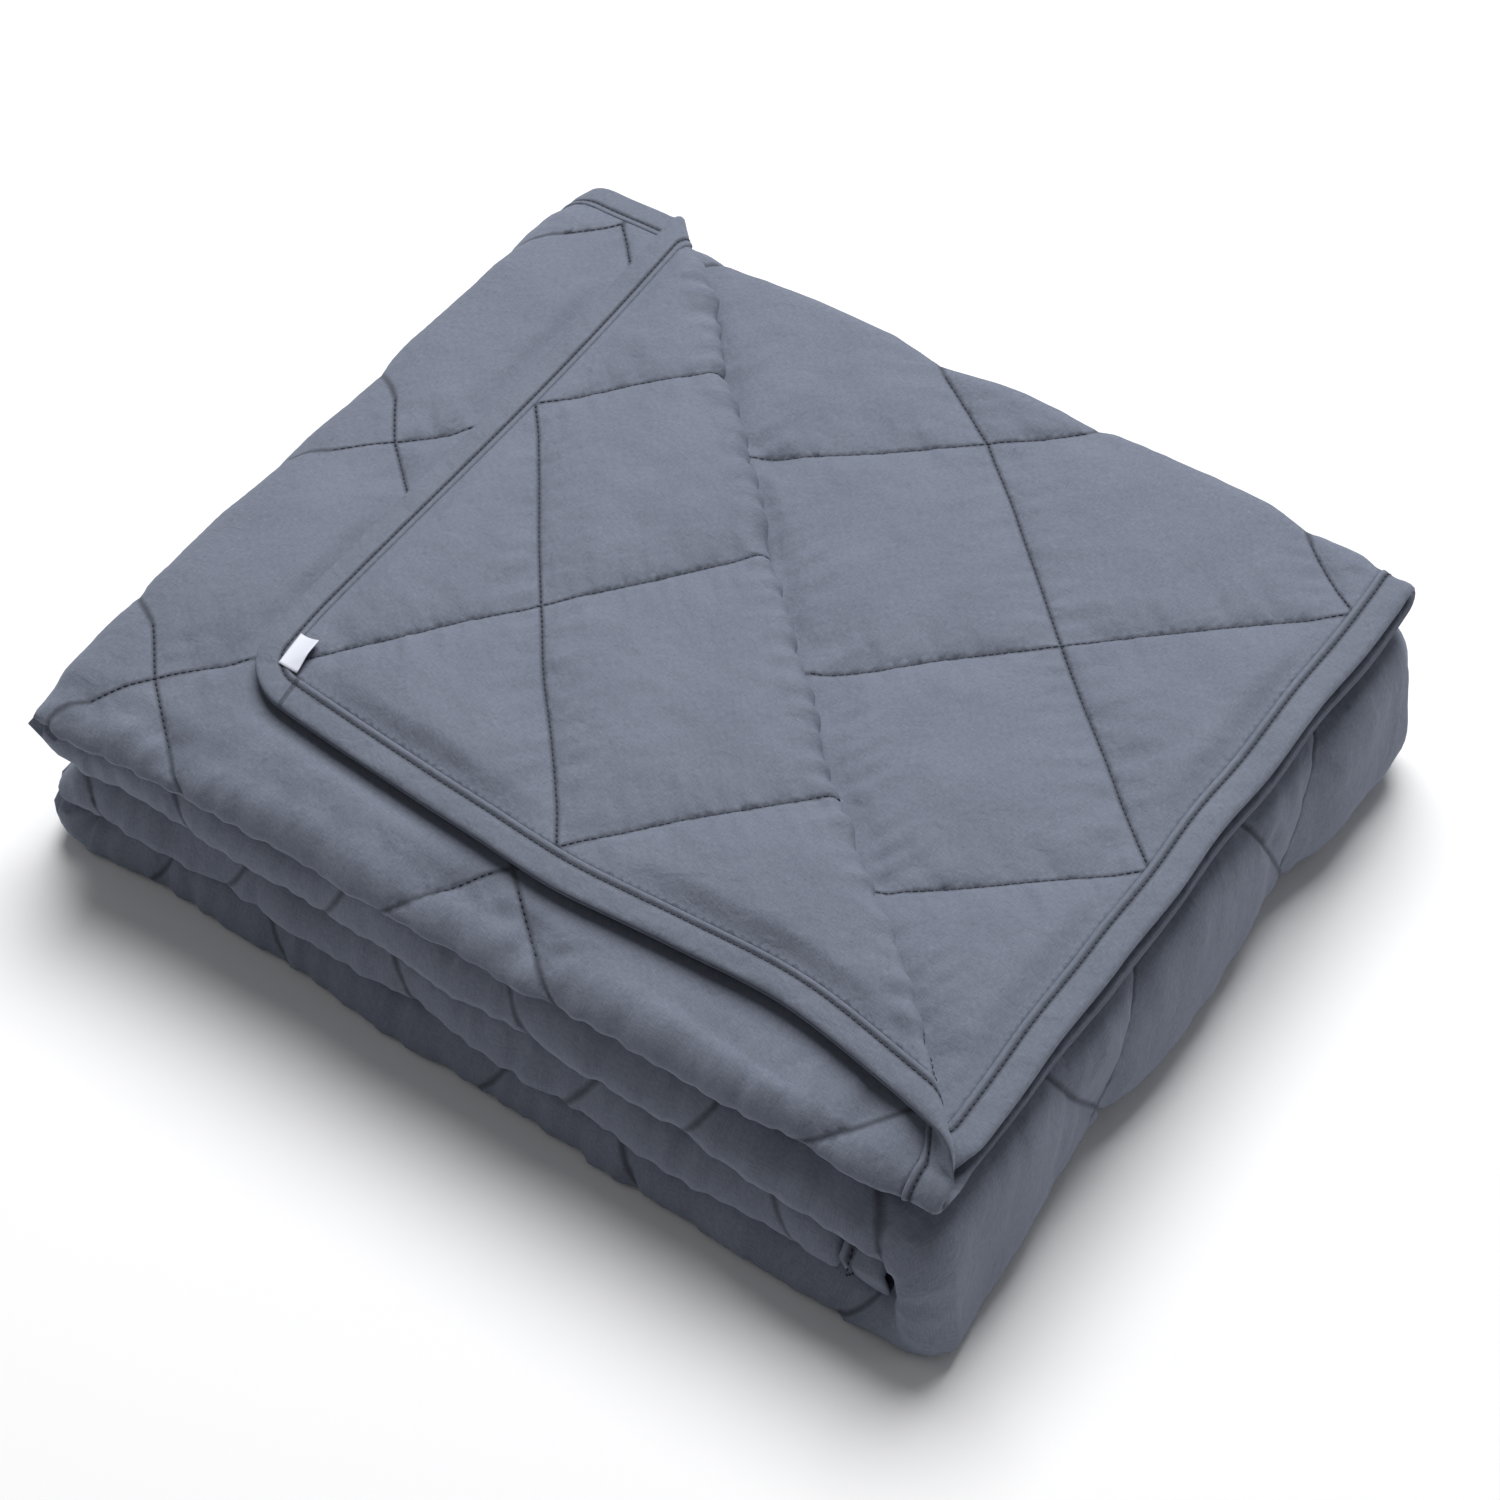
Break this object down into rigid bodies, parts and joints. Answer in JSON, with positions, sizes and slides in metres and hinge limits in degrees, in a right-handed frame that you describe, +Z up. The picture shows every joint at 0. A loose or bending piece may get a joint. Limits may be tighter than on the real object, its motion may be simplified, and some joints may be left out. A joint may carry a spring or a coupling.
{
  "type": "weighted blanket",
  "caption": "Quilted weighted blanket in plain blue-grey cloth, folded in three across and back and forth in four along into a flat stack, with one bound corner turned back over the top.",
  "frame": {"origin": "centre of the folded stack's box, on the surface that it rests on", "axes": "+X along the blanket's length as folded, from the end with two open folds to the end with the closed spine; +Y across its width, towards the side of the turned-back corner's tip at the top; +Z up"},
  "size_m": [0.5204, 0.445, 0.1346],
  "materials": {
    "quilted_cloth": "matt brushed cotton, slate blue heather",
    "binding_cloth": "matt brushed cotton strip, folded round the edge and topstitched",
    "label_ribbon": "plain satin ribbon, left blank"
  },
  "bodies": {
    "root": {"quilted_blanket": "quilted_cloth", "edge_binding": "binding_cloth", "corner_label": "label_ribbon"}
  },
  "joints": []
}
